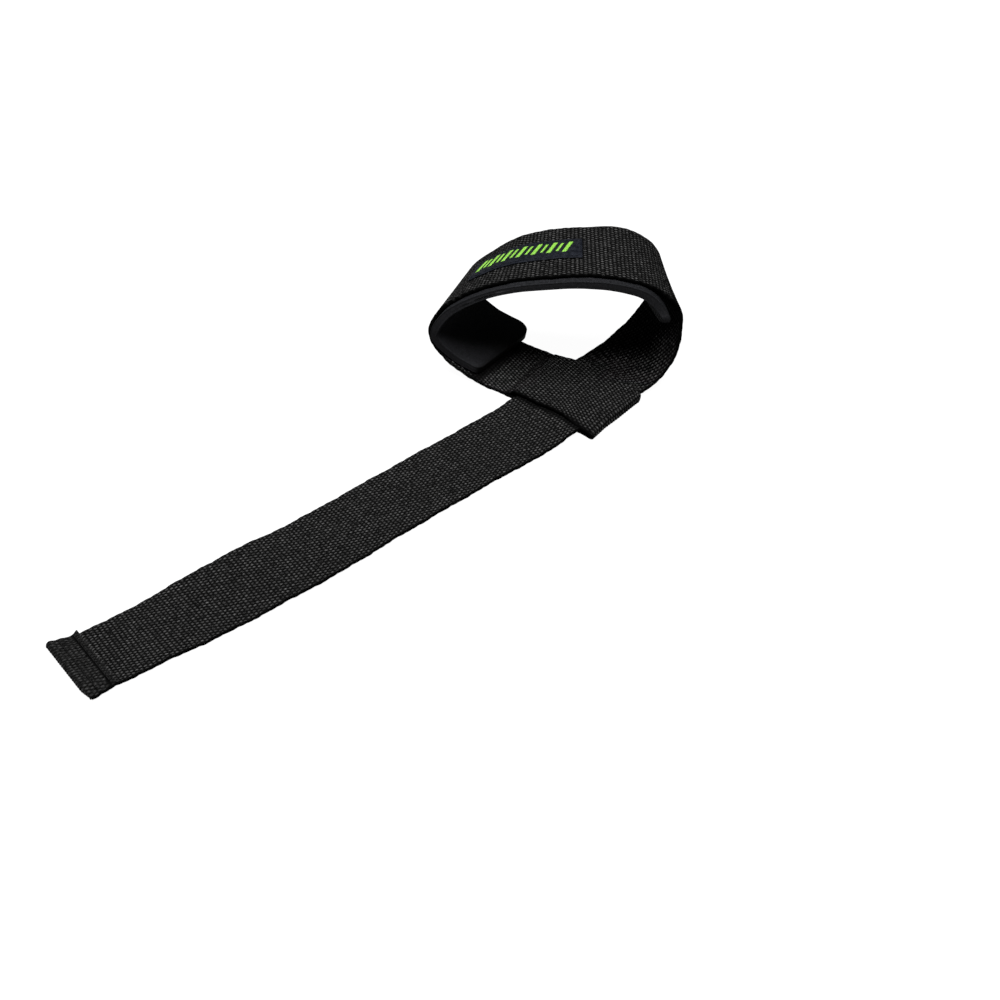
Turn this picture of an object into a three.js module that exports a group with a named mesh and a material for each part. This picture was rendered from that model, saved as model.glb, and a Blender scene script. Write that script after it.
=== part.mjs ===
// Padded weightlifting strap, lying on a flat surface. Millimetres, +Z up.
// One woven web makes the whole strap. Its far end is hemmed, its near end is folded
// back and sewn into a flat eye, and the web passes through that eye and stands up in
// a wrist loop. A soft pad lines the loop and a woven label lies on its outside.
// X runs along the tail from the hem towards the loop. Until the last lines the
// middle of the eye is at x = 0, y = 0 and the surface is z = 0.
import * as THREE from 'three';

// Web
const webWidth = 37;
const webThickness = 1.8;
const webEdgeRound = 0.6;
const layerGap = 0.3; // air left between two layers of web that lie on each other

// Tail, hem and eye
const tailLength = 267.2; // middle of the eye to the hem's fold
const tailWave = 2.4; // height of the tail's gentle waves
const hemLength = 11.5; // web folded over at the tail's end
const hemRidge = 0.6; // how far the hem's cut edge stands up
const eyeSlack = 0.4; // room beside the tail inside the eye
const seamLength = 2.2; // sewn end of the eye's upper layer
const seamDrop = 3; // length over which the upper layer comes down to its seam

// Wrist loop, measured on the middle of the web's thickness
const loopWidth = 71; // along the tail
const loopDepth = 92; // across the tail
const loopHeight = 63.5;

// Wrist pad
const padLength = 177;
const padWidth = 42.4;
const padThickness = 3.8;
const padEdgeRound = 1.5;
const padCorner = 9; // corner radius of the pad's outline
const padSharpCorner = 3.5; // and that of its lower end's front corner
const padToFold = 153.5; // along the web, from the eye's fold to the pad's middle
const padGap = 0.3;
const padEndLift = 4.8; // how far the pad's upper end stands off the web
const padLiftLength = 34;
const padEndTurn = 8; // degrees that the pad's lower end is cut askew
const padTurnLength = 50;
const padEndShift = 5; // how far that end lies nearer to the rear
const padEndRise = 0.5; // room that it needs above the curving web

// Label
const labelLength = 54;
const labelWidth = 14.5;
const labelThickness = 0.8;
const labelEdgeRound = 0.2;
const labelToFold = 156.5; // along the web, from the eye's fold to the label's middle
const labelGap = 0.3;
const labelAside = 1; // nearer to the rear selvage

// Fineness of the faceted surfaces
const ribSpacing = 4;
const bendSteps = 8;
const cornerSteps = 5;
const edgeSteps = 2;

const layerPitch = webThickness + layerGap;
const halfWeb = webWidth / 2;
const onFloor = webThickness / 2;

// Route of the web's middle line, from the hem to the eye's fold. turn is the
// direction in plan, in degrees from X, of the line from the front selvage to the rear
// one. bank is the web's lean about its own length, in degrees, with the rear selvage
// towards the upper face, or the inner face in the loop. wide is a share of webWidth,
// and is 1 where a row has none.

// Tail: back is a share of tailLength, aside a share of webWidth, up of tailWave.
const tailRows = [
  { back: 1.0, aside: 0.08, up: 0, turn: 92.5, bank: 0, wide: 0.92 },
  { back: 0.95, aside: 0.06, up: 0.1, turn: 93, bank: 0, wide: 0.91 },
  { back: 0.88, aside: 0.015, up: 0.2, turn: 93, bank: 0, wide: 0.91 },
  { back: 0.78, aside: -0.01, up: 0.1, turn: 91, bank: 1, wide: 0.99 },
  { back: 0.68, aside: -0.05, up: 0.6, turn: 91, bank: 2, wide: 1.01 },
  { back: 0.58, aside: -0.075, up: 0.4, turn: 90, bank: 1, wide: 0.99 },
  { back: 0.46, aside: -0.045, up: 0.1, turn: 90, bank: 0, wide: 0.98 },
  { back: 0.34, aside: -0.035, up: 0.1, turn: 90, bank: 0, wide: 0.98 },
  { back: 0.22, aside: -0.03, up: 0, turn: 90, bank: 0, wide: 0.98 },
];

// Inside the eye: along and aside are shares of webWidth, up a share of layerPitch.
const eyeRows = [
  { along: -1.15, aside: -0.04, up: 0.05, turn: 90, bank: 0, wide: 1.0 },
  { along: -0.92, aside: -0.045, up: 0.4, turn: 91, bank: 0, wide: 1.0 },
  { along: -0.7, aside: -0.045, up: 0.95, turn: 91, bank: 0, wide: 0.99 },
  { along: -0.35, aside: -0.035, up: 1.0, turn: 91, bank: 0, wide: 0.98 },
  { along: 0.05, aside: -0.02, up: 1.0, turn: 91, bank: 0, wide: 1.0 },
  { along: 0.4, aside: 0.005, up: 1.0, turn: 90, bank: 0, wide: 1.0 },
  { along: 0.6, aside: 0.01, up: 1.1, turn: 88, bank: 0, wide: 1.0 },
];

// Loop: along is a share of loopWidth, aside of loopDepth and up of loopHeight.
const loopRows = [
  { along: 0.435, aside: -0.02, up: 0.11, turn: 84, bank: 0, wide: 1.03 },
  { along: 0.555, aside: -0.045, up: 0.23, turn: 77.5, bank: 0, wide: 1.02 },
  { along: 0.65, aside: -0.06, up: 0.44, turn: 69, bank: 0, wide: 1.0 },
  { along: 0.68, aside: -0.06, up: 0.68, turn: 60, bank: 0 },
  { along: 0.595, aside: -0.01, up: 0.86, turn: 54.5, bank: -2 },
  { along: 0.435, aside: 0.085, up: 0.975, turn: 51, bank: -3 },
  { along: 0.25, aside: 0.205, up: 0.995, turn: 48, bank: 0 },
  { along: 0.08, aside: 0.325, up: 0.97, turn: 43, bank: 0 },
  { along: -0.065, aside: 0.445, up: 0.905, turn: 38, bank: 1 },
  { along: -0.19, aside: 0.57, up: 0.765, turn: 33, bank: 3 },
  { along: -0.285, aside: 0.69, up: 0.565, turn: 28.5, bank: 2 },
  { along: -0.325, aside: 0.74, up: 0.33, turn: 25, bank: 0 },
  { along: -0.27, aside: 0.64, up: 0.13, turn: 22.5, bank: 0 },
  { along: -0.188, aside: 0.475, up: 0.034, turn: 20.5, bank: 0 },
];

// Lower layer of the eye, flat on the surface, in shares of webWidth.
const underRows = [
  { along: -0.22, aside: 0.75, turn: 15, bank: 0 },
  { along: -0.12, aside: 0.32, turn: 13, bank: 0 },
  { along: -0.02, aside: -0.1, turn: 12, bank: 0 },
];

// The eye is folded close outside the tail's front selvage. Its fold line is turned a
// little to the tail, so that it comes nearest at the eye's far selvage.
const foldTurn = 12;
const foldInset = layerPitch - webThickness / 2;
const foldAside =
  halfWeb + eyeSlack + halfWeb * Math.sin(THREE.MathUtils.degToRad(foldTurn)) - foldInset;
const foldAlong = 0.026 * webWidth; // how far past the eye's middle the fold lies

function station(row, along, aside, height) {
  const { turn, bank, wide = 1 } = row;
  return { place: new THREE.Vector3(along, aside, height), turn, bank, wide };
}

const stations = [
  ...tailRows.map((row) => station(
    row, -row.back * tailLength, row.aside * webWidth, onFloor + row.up * tailWave)),
  ...eyeRows.map((row) => station(
    row, row.along * webWidth, row.aside * webWidth, onFloor + row.up * layerPitch)),
  ...loopRows.map((row) => station(
    row, row.along * loopWidth, row.aside * loopDepth, row.up * loopHeight)),
  ...underRows.map((row) => station(
    row, row.along * webWidth, row.aside * webWidth, onFloor)),
  station({ turn: foldTurn, bank: 0, wide: 0.99 }, foldAlong, -foldAside, onFloor),
];
const route = new THREE.CatmullRomCurve3(
  stations.map(({ place }) => place), false, 'centripetal');
route.arcLengthDivisions = 900;
const lean = new THREE.CatmullRomCurve3(
  stations.map(({ turn, bank, wide }) => new THREE.Vector3(turn, bank, wide)),
  false, 'catmullrom', 0.5);
const routeLength = route.getLength();

// A rib is one cross line of the web: its middle, the direction along the web, the
// direction across it from front to rear, and the direction out of its upper face,
// which is the inner face in the loop.
function ribAt(distance) {
  const t = route.getUtoTmapping(THREE.MathUtils.clamp(distance / routeLength, 0, 1));
  const along = route.getTangent(t);
  const { x: turnAngle, y: bankAngle, z: wide } = lean.getPoint(t);
  const turn = THREE.MathUtils.degToRad(turnAngle);
  const across = new THREE.Vector3(Math.cos(turn), Math.sin(turn), 0);
  across.addScaledVector(along, -across.dot(along)).normalize();
  across.applyAxisAngle(along, THREE.MathUtils.degToRad(bankAngle));
  const up = new THREE.Vector3().crossVectors(along, across);
  const halfWidth = halfWeb * wide;
  const middle = route.getPoint(t);
  const lowest = halfWidth * Math.abs(across.z) + onFloor * Math.abs(up.z);
  middle.z = Math.max(middle.z, lowest); // the surface holds the web up
  return { middle, along, across, up, halfWidth };
}

// The same rib moved out of its upper face.
function raised(rib, height) {
  return { ...rib, middle: rib.middle.clone().addScaledVector(rib.up, height) };
}

// The same rib as the next layer has it, with the web running the other way.
function turnedOver(rib) {
  return { ...rib, along: rib.along.clone().negate(), up: rib.up.clone().negate() };
}

// Ribs of a half turn that carries the web from a rib up onto the layer above it,
// past the rib in the direction of way (1 along the web, -1 against it).
function halfTurn(rib, radius, way) {
  const ribs = [];
  for (let step = 1; step < bendSteps; step += 1) {
    const angle = (Math.PI * step) / bendSteps;
    const middle = rib.middle.clone()
      .addScaledVector(rib.along, way * radius * Math.sin(angle))
      .addScaledVector(rib.up, radius * (1 - Math.cos(angle)));
    const up = rib.up.clone().multiplyScalar(Math.cos(angle))
      .addScaledVector(rib.along, -way * Math.sin(angle));
    const along = new THREE.Vector3().crossVectors(rib.across, up);
    ribs.push({ ...rib, middle, along, up });
  }
  return ribs;
}

// Evenly spaced distances from one to another, both ends included.
function spaced(from, to, spacing) {
  const steps = Math.max(1, Math.round(Math.abs(to - from) / spacing));
  return Array.from({ length: steps + 1 }, (_, i) => from + ((to - from) * i) / steps);
}

// Corners of a flat section with rounded edges, in order round it, as distances
// across and up from the rib's middle.
function sectionCorners(halfWidth, halfThickness, edgeRound) {
  const corners = [];
  const quarters = [[1, 1], [-1, 1], [-1, -1], [1, -1]];
  quarters.forEach(([side, face], quarter) => {
    for (let step = 0; step <= edgeSteps; step += 1) {
      const angle = ((quarter + step / edgeSteps) * Math.PI) / 2;
      corners.push([
        side * (halfWidth - edgeRound) + edgeRound * Math.cos(angle),
        face * (halfThickness - edgeRound) + edgeRound * Math.sin(angle),
      ]);
    }
  });
  return corners;
}

// A closed body lofted through ribs. Each rib carries its own halfWidth.
function loft(ribs, thickness, edgeRound) {
  const positions = [];
  const indices = [];
  let round = 0;
  ribs.forEach((rib) => {
    const corners = sectionCorners(rib.halfWidth, thickness / 2, edgeRound);
    round = corners.length;
    corners.forEach(([sideways, upwards]) => {
      const corner = rib.middle.clone()
        .addScaledVector(rib.across, sideways)
        .addScaledVector(rib.up, upwards);
      positions.push(corner.x, corner.y, corner.z);
    });
  });
  for (let i = 0; i + 1 < ribs.length; i += 1) {
    for (let j = 0; j < round; j += 1) {
      const a = i * round + j;
      const b = i * round + ((j + 1) % round);
      indices.push(a, b, b + round, a, b + round, a + round);
    }
  }
  const last = (ribs.length - 1) * round;
  for (let j = 1; j + 1 < round; j += 1) {
    indices.push(0, j + 1, j, last, last + j, last + j + 1);
  }
  const geometry = new THREE.BufferGeometry();
  geometry.setAttribute('position', new THREE.Float32BufferAttribute(positions, 3));
  geometry.setIndex(indices);
  geometry.computeVertexNormals();
  return geometry;
}

// Web: hem layer, hem fold, route, eye fold and the eye's upper layer
function hemLayer() {
  return spaced(hemLength, 0, ribSpacing / 2).map((distance) => {
    const rise = hemRidge * THREE.MathUtils.smoothstep(distance, hemLength / 2, hemLength);
    return turnedOver(raised(ribAt(distance), layerPitch + rise));
  });
}

function eyeUpperLayer() {
  const skew = halfWeb * Math.sin(THREE.MathUtils.degToRad(underRows[0].turn));
  const dropStart = foldAside + halfWeb + skew;
  const dropEnd = dropStart + seamDrop;
  return spaced(0, dropEnd + seamLength, ribSpacing / 2).map((distance) => {
    const drop = layerPitch * THREE.MathUtils.smoothstep(distance, dropStart, dropEnd);
    return turnedOver(raised(ribAt(routeLength - distance), 2 * layerPitch - drop));
  });
}

function webGeometry() {
  const hemFold = halfTurn(ribAt(0), layerPitch / 2, -1).reverse();
  const eyeFold = halfTurn(ribAt(routeLength), layerPitch, 1);
  const run = spaced(0, routeLength, ribSpacing).map(ribAt);
  const ribs = [...hemLayer(), ...hemFold, ...run, ...eyeFold, ...eyeUpperLayer()];
  return loft(ribs, webThickness, webEdgeRound);
}

// What a rounded corner takes off a strip's width, at a distance from the strip's end.
function cornerCut(fromEnd, corner) {
  const short = Math.max(0, corner - fromEnd);
  return corner - Math.sqrt(corner * corner - short * short);
}

// Distances from a strip's start, closer together in its rounded corners.
function stripDistances(length, corner) {
  const startCorner = Array.from({ length: cornerSteps }, (_, i) => {
    const angle = (Math.PI / 2) * (i / cornerSteps);
    return corner * (1 - Math.cos(angle));
  });
  const endCorner = startCorner.map((distance) => length - distance).reverse();
  return [...startCorner, ...spaced(corner, length - corner, ribSpacing), ...endCorner];
}

// Pad inside the loop. Its upper end, near where the web leaves the eye, stands off.
function padGeometry() {
  const centre = routeLength - padToFold;
  const offset = (webThickness + padThickness) / 2 + padGap;
  const ribs = stripDistances(padLength, padCorner).map((fromEnd) => {
    const at = fromEnd - padLength / 2;
    const toEnd = padLength - fromEnd;
    const rearCut = cornerCut(Math.min(fromEnd, toEnd), padCorner);
    const frontCut = Math.max(
      cornerCut(fromEnd, padCorner), cornerCut(toEnd, padSharpCorner));
    const free = 1 - THREE.MathUtils.smoothstep(fromEnd, 0, padLiftLength);
    const askew = THREE.MathUtils.smoothstep(fromEnd, padLength - padTurnLength, padLength);
    const rib = raised(
      ribAt(centre + at), offset + padEndLift * free + padEndRise * askew);
    rib.middle.addScaledVector(rib.across, padEndShift * askew + (frontCut - rearCut) / 2);
    rib.across.applyAxisAngle(rib.up, THREE.MathUtils.degToRad(padEndTurn) * -askew);
    return { ...rib, halfWidth: (padWidth - frontCut - rearCut) / 2 };
  });
  return loft(ribs, padThickness, padEdgeRound);
}

// Label on the outside of the loop
function labelGeometry() {
  const centre = routeLength - labelToFold;
  const offset = (webThickness + labelThickness) / 2 + labelGap;
  const ribs = spaced(-labelLength / 2, labelLength / 2, ribSpacing).map((at) => {
    const rib = raised(ribAt(centre + at), -offset);
    rib.middle.addScaledVector(rib.across, labelAside);
    return { ...rib, halfWidth: labelWidth / 2 };
  });
  return loft(ribs, labelThickness, labelEdgeRound);
}

const webMaterial = new THREE.MeshStandardMaterial({
  color: 0x1b1b1c, roughness: 0.92, metalness: 0 });
const padMaterial = new THREE.MeshStandardMaterial({
  color: 0x15161c, roughness: 0.8, metalness: 0 });
const labelMaterial = new THREE.MeshStandardMaterial({
  color: 0x141a2b, roughness: 0.75, metalness: 0 });

function named(name, geometry, material) {
  const mesh = new THREE.Mesh(geometry, material);
  mesh.name = name;
  return mesh;
}

const strap = new THREE.Group();
strap.add(named('strap_webbing', webGeometry(), webMaterial));
strap.add(named('wrist_pad', padGeometry(), padMaterial));
strap.add(named('label_patch', labelGeometry(), labelMaterial));

// The part's origin is the middle of the bottom of its box.
const box = new THREE.Box3().setFromObject(strap);
const middle = box.getCenter(new THREE.Vector3());
strap.position.set(-middle.x, -middle.y, -box.min.z);

const part = new THREE.Group();
part.add(strap);

export default part;
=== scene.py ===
# Padded weightlifting strap: the woven web with its yarns, the foam wrist pad, the woven
# label, the sewing, and a plain pale studio. Sizes are in millimetres unless a comment
# says otherwise, and every mesh is written in metres.
import math

import bpy
import numpy as np
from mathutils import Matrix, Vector


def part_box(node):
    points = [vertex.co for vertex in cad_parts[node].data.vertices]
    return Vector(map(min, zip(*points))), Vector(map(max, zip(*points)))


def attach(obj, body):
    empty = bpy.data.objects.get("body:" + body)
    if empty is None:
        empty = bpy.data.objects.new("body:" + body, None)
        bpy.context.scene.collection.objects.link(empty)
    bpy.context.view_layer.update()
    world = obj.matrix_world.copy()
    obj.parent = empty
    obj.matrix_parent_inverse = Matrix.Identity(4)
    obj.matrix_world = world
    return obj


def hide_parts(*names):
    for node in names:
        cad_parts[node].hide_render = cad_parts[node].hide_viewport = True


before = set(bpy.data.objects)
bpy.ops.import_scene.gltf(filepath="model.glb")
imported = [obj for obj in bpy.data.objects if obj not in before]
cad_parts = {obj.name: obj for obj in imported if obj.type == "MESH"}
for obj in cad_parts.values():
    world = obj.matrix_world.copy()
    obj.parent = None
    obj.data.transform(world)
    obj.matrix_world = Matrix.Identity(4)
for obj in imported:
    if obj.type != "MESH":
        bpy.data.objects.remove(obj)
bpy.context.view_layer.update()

MM = 0.001
rng = np.random.default_rng(38)

# Web, as in the solids
WEB_WIDTH = 37.0
WEB_THICKNESS = 1.8
WEB_EDGE_ROUND = 0.6
LAYER_PITCH = 2.1
TAIL_LENGTH = 267.2
TAIL_WAVE = 2.4
HEM_LENGTH = 11.5
HEM_RIDGE = 0.6
EYE_SLACK = 0.4
SEAM_LENGTH = 2.2
SEAM_DROP = 3.0
LOOP_WIDTH = 71.0
LOOP_DEPTH = 92.0
LOOP_HEIGHT = 63.5

# Pad, as in the solids
PAD_LENGTH = 177.0
PAD_WIDTH = 42.4
PAD_THICKNESS = 3.8
PAD_CORNER = 9.0
PAD_SHARP_CORNER = 3.5
PAD_TO_FOLD = 153.5
PAD_GAP = 0.3
PAD_END_LIFT = 4.8
PAD_LIFT_LENGTH = 34.0
PAD_END_TURN = 8.0
PAD_TURN_LENGTH = 50.0
PAD_END_SHIFT = 5.0
PAD_END_RISE = 0.5

# Label, as in the solids
LABEL_LENGTH = 54.0
LABEL_WIDTH = 14.5
LABEL_THICKNESS = 0.8
LABEL_TO_FOLD = 156.5
LABEL_GAP = 0.3
LABEL_ASIDE = 1.0

# Weave: picks are the cross yarns, ends the yarns along the web
PICK = 1.83
ENDS = 45
STEPS_PER_PICK = 4
CROWN_DEPTH = 0.4
PICK_SHARE = 0.25  # of the relief that is the ribs across the web
SCALLOP = 0.2  # how far the selvage's yarn turns stand out
SELVAGE = 1.5  # width of the denser band beside each edge

HALF_WEB = WEB_WIDTH / 2
ON_FLOOR = WEB_THICKNESS / 2

# The web's route, with the same rows as the solids.
# back, aside, up, turn, bank, wide
TAIL_ROWS = [
    (1.0, 0.08, 0, 92.5, 0, 0.92),
    (0.95, 0.06, 0.1, 93, 0, 0.91),
    (0.88, 0.015, 0.2, 93, 0, 0.91),
    (0.78, -0.01, 0.1, 91, 1, 0.99),
    (0.68, -0.05, 0.6, 91, 2, 1.01),
    (0.58, -0.075, 0.4, 90, 1, 0.99),
    (0.46, -0.045, 0.1, 90, 0, 0.98),
    (0.34, -0.035, 0.1, 90, 0, 0.98),
    (0.22, -0.03, 0, 90, 0, 0.98),
]
# along, aside, up, turn, bank, wide
EYE_ROWS = [
    (-1.15, -0.04, 0.05, 90, 0, 1.0),
    (-0.92, -0.045, 0.4, 91, 0, 1.0),
    (-0.7, -0.045, 0.95, 91, 0, 0.99),
    (-0.35, -0.035, 1.0, 91, 0, 0.98),
    (0.05, -0.02, 1.0, 91, 0, 1.0),
    (0.4, 0.005, 1.0, 90, 0, 1.0),
    (0.6, 0.01, 1.1, 88, 0, 1.0),
]
# along, aside, up, turn, bank, wide
LOOP_ROWS = [
    (0.435, -0.02, 0.11, 84, 0, 1.03),
    (0.555, -0.045, 0.23, 77.5, 0, 1.02),
    (0.65, -0.06, 0.44, 69, 0, 1.0),
    (0.68, -0.06, 0.68, 60, 0, 1.0),
    (0.595, -0.01, 0.86, 54.5, -2, 1.0),
    (0.435, 0.085, 0.975, 51, -3, 1.0),
    (0.25, 0.205, 0.995, 48, 0, 1.0),
    (0.08, 0.325, 0.97, 43, 0, 1.0),
    (-0.065, 0.445, 0.905, 38, 1, 1.0),
    (-0.19, 0.57, 0.765, 33, 3, 1.0),
    (-0.285, 0.69, 0.565, 28.5, 2, 1.0),
    (-0.325, 0.74, 0.33, 25, 0, 1.0),
    (-0.27, 0.64, 0.13, 22.5, 0, 1.0),
    (-0.188, 0.475, 0.034, 20.5, 0, 1.0),
]
# along, aside, turn, bank
UNDER_ROWS = [
    (-0.22, 0.75, 15, 0),
    (-0.12, 0.32, 13, 0),
    (-0.02, -0.1, 12, 0),
]
FOLD_TURN = 12.0
FOLD_WIDE = 0.99
FOLD_INSET = LAYER_PITCH - WEB_THICKNESS / 2
FOLD_ASIDE = (
    HALF_WEB + EYE_SLACK + HALF_WEB * math.sin(math.radians(FOLD_TURN)) - FOLD_INSET
)
FOLD_ALONG = 0.026 * WEB_WIDTH


def smoothstep(x, low, high):
    t = np.clip((np.asarray(x, float) - low) / (high - low), 0, 1)
    return t * t * (3 - 2 * t)


def bell(x, middle, width, power=2):
    """1 at the middle, falling to 0 on both sides of it."""
    return np.exp(-(((x - middle) / width) ** power))


def unit(v):
    return v / np.linalg.norm(v, axis=-1, keepdims=True)


def turned_about(v, axis, angle):
    """v turned about a unit axis by an angle in radians, row by row."""
    c = np.cos(angle)[..., None]
    s = np.sin(angle)[..., None]
    along = (v * axis).sum(-1, keepdims=True)
    return v * c + np.cross(axis, v) * s + axis * along * (1 - c)


def catmull_rom(points, t, centripetal):
    """Points on a Catmull-Rom curve through the given ones, at the shares t of its spans."""
    last = len(points) - 1
    place = np.clip(np.asarray(t, float), 0, 1) * last
    i = np.minimum(place.astype(int), last - 1)
    w = (place - i)[:, None]
    before = np.vstack([2 * points[0] - points[1], points])
    after = np.vstack([points, 2 * points[-1] - points[-2]])
    p0, p1, p2, p3 = before[i], points[i], points[i + 1], after[i + 2]
    if centripetal:
        d0, d1, d2 = (
            ((b - a) ** 2).sum(-1, keepdims=True) ** 0.25
            for a, b in ((p0, p1), (p1, p2), (p2, p3))
        )
        m1 = ((p1 - p0) / d0 - (p2 - p0) / (d0 + d1) + (p2 - p1) / d1) * d1
        m2 = ((p2 - p1) / d1 - (p3 - p1) / (d1 + d2) + (p3 - p2) / d2) * d1
    else:
        m1, m2 = (p2 - p0) / 2, (p3 - p1) / 2
    c2 = -3 * p1 + 3 * p2 - 2 * m1 - m2
    c3 = 2 * p1 - 2 * p2 + m1 + m2
    return p1 + m1 * w + c2 * w**2 + c3 * w**3


def route_stations():
    """The middle line's points, and the turn, bank and wide at each."""
    places, leans = [], []
    for back, aside, up, *lean in TAIL_ROWS:
        places.append((-back * TAIL_LENGTH, aside * WEB_WIDTH, ON_FLOOR + up * TAIL_WAVE))
        leans.append(lean)
    for along, aside, up, *lean in EYE_ROWS:
        places.append((along * WEB_WIDTH, aside * WEB_WIDTH, ON_FLOOR + up * LAYER_PITCH))
        leans.append(lean)
    for along, aside, up, *lean in LOOP_ROWS:
        places.append((along * LOOP_WIDTH, aside * LOOP_DEPTH, up * LOOP_HEIGHT))
        leans.append(lean)
    for along, aside, *lean in UNDER_ROWS:
        places.append((along * WEB_WIDTH, aside * WEB_WIDTH, ON_FLOOR))
        leans.append([*lean, 1.0])
    places.append((FOLD_ALONG, -FOLD_ASIDE, ON_FLOOR))
    leans.append([FOLD_TURN, 0, FOLD_WIDE])
    return np.array(places, float), np.array(leans, float)


PLACES, LEANS = route_stations()
ROUTE_T = np.linspace(0, 1, 901)
route_points = catmull_rom(PLACES, ROUTE_T, True)
ROUTE_AT = np.concatenate(
    [[0], np.cumsum(np.linalg.norm(np.diff(route_points, axis=0), axis=1))]
)
ROUTE_LENGTH = float(ROUTE_AT[-1])


class Ribs:
    """Cross lines of the web or of a piece on it, one row each."""

    def __init__(self, middle, along, across, up, half):
        self.middle, self.along, self.across, self.up, self.half = (
            middle, along, across, up, half
        )

    def raised(self, height):
        height = np.broadcast_to(height, self.half.shape)[:, None]
        return Ribs(
            self.middle + self.up * height, self.along, self.across, self.up, self.half
        )

    def turned_over(self):
        return Ribs(self.middle, -self.along, self.across, -self.up, self.half)

    def moved_across(self, distance):
        distance = np.broadcast_to(distance, self.half.shape)[:, None]
        middle = self.middle + self.across * distance
        return Ribs(middle, self.along, self.across, self.up, self.half)

    def points(self, sideways, height):
        """A point for each row and column, from its way across and up."""
        return (
            self.middle[:, None]
            + self.across[:, None] * sideways[..., None]
            + self.up[:, None] * height[..., None]
        )

    def mixed(self, values, index):
        """The rows' values at a row number, which may be between two."""
        rows = np.arange(len(self.half))
        return np.stack([np.interp(index, rows, values[:, k]) for k in range(3)], -1)

    def up_at(self, index):
        return unit(self.mixed(self.up, index))

    def place(self, index, sideways, height):
        """The point at a row number, from its way across and up."""
        return (
            self.mixed(self.middle, index)
            + unit(self.mixed(self.across, index)) * np.asarray(sideways, float)[..., None]
            + self.up_at(index) * np.asarray(height, float)[..., None]
        )


def joined(parts):
    return Ribs(*(
        np.concatenate([getattr(p, key) for p in parts])
        for key in ("middle", "along", "across", "up", "half")
    ))


def ribs_at(distance):
    distance = np.atleast_1d(np.asarray(distance, float))
    t = np.interp(np.clip(distance, 0, ROUTE_LENGTH), ROUTE_AT, ROUTE_T)
    step = 0.0001
    ahead = catmull_rom(PLACES, np.minimum(t + step, 1), True)
    behind = catmull_rom(PLACES, np.maximum(t - step, 0), True)
    along = unit(ahead - behind)
    turn, bank, wide = catmull_rom(LEANS, t, False).T
    turn = np.radians(turn)
    across = np.stack([np.cos(turn), np.sin(turn), 0 * turn], -1)
    across = unit(across - along * (across * along).sum(-1, keepdims=True))
    across = turned_about(across, along, np.radians(bank))
    up = np.cross(along, across)
    half = HALF_WEB * wide
    middle = catmull_rom(PLACES, t, True)
    lowest = half * np.abs(across[:, 2]) + ON_FLOOR * np.abs(up[:, 2])
    middle[:, 2] = np.maximum(middle[:, 2], lowest)
    return Ribs(middle, along, across, up, half)


def half_turn(rib, radius, way, angle):
    """Ribs of a half turn onto the layer above, at the angles given in radians."""
    c, s = np.cos(angle)[:, None], np.sin(angle)[:, None]
    middle = rib.middle + rib.along * way * radius * s + rib.up * radius * (1 - c)
    up = rib.up * c - rib.along * way * s
    across = np.repeat(rib.across, len(angle), axis=0)
    along = np.cross(across, up)
    return Ribs(middle, along, across, up, np.repeat(rib.half, len(angle)))


# The whole web, measured along itself from the hem's cut edge
HEM_TURN = math.pi * LAYER_PITCH / 2
EYE_TURN = math.pi * LAYER_PITCH
UNDER_SKEW = HALF_WEB * math.sin(math.radians(UNDER_ROWS[0][2]))
DROP_START = FOLD_ASIDE + HALF_WEB + UNDER_SKEW
DROP_END = DROP_START + SEAM_DROP
UPPER_LENGTH = DROP_END + SEAM_LENGTH
RUN_START = HEM_LENGTH + HEM_TURN
RUN_END = RUN_START + ROUTE_LENGTH
UPPER_START = RUN_END + EYE_TURN
WEB_LENGTH = UPPER_START + UPPER_LENGTH


def web_ribs(at):
    """Ribs of the folded web at distances from the hem's cut edge."""
    hem = at[at < HEM_LENGTH]
    hem_turn = at[(at >= HEM_LENGTH) & (at < RUN_START)]
    run = at[(at >= RUN_START) & (at <= RUN_END)]
    eye_turn = at[(at > RUN_END) & (at < UPPER_START)]
    upper = at[at >= UPPER_START]
    rise = HEM_RIDGE * smoothstep(HEM_LENGTH - hem, HEM_LENGTH * 0.6, HEM_LENGTH)
    start, end = ribs_at(0), ribs_at(ROUTE_LENGTH)
    back = upper - UPPER_START
    drop = LAYER_PITCH * smoothstep(back, DROP_START, DROP_END)
    hem_angle = math.pi * (1 - (hem_turn - HEM_LENGTH) / HEM_TURN)
    return joined([
        ribs_at(HEM_LENGTH - hem).raised(LAYER_PITCH + rise).turned_over(),
        half_turn(start, LAYER_PITCH / 2, -1, hem_angle),
        ribs_at(run - RUN_START),
        half_turn(end, LAYER_PITCH, 1, math.pi * (eye_turn - RUN_END) / EYE_TURN),
        ribs_at(ROUTE_LENGTH - back).raised(2 * LAYER_PITCH - drop).turned_over(),
    ])


# The web's rows: four to each pick, from the hem's cut edge to the end of the eye
PICKS = round(WEB_LENGTH / PICK)
PICK_FITTED = WEB_LENGTH / PICKS
WEB_AT = np.linspace(0, WEB_LENGTH, PICKS * STEPS_PER_PICK + 1)
WEB = web_ribs(WEB_AT)
YARN_SIZES = rng.uniform(0.6, 1.2, (PICKS + 2, ENDS + 1))
YARN_SHADES = rng.uniform(0.45, 1.0, (PICKS + 2, ENDS + 1))
TURN_SIZES = rng.uniform(0.55, 1.2, PICKS + 4)


def row_number(at):
    return at / WEB_LENGTH * (len(WEB_AT) - 1)


# Mesh making
WEB_BOX_LOW = np.array(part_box("strap_webbing")[0]) / MM  # in the part's own frame


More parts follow.
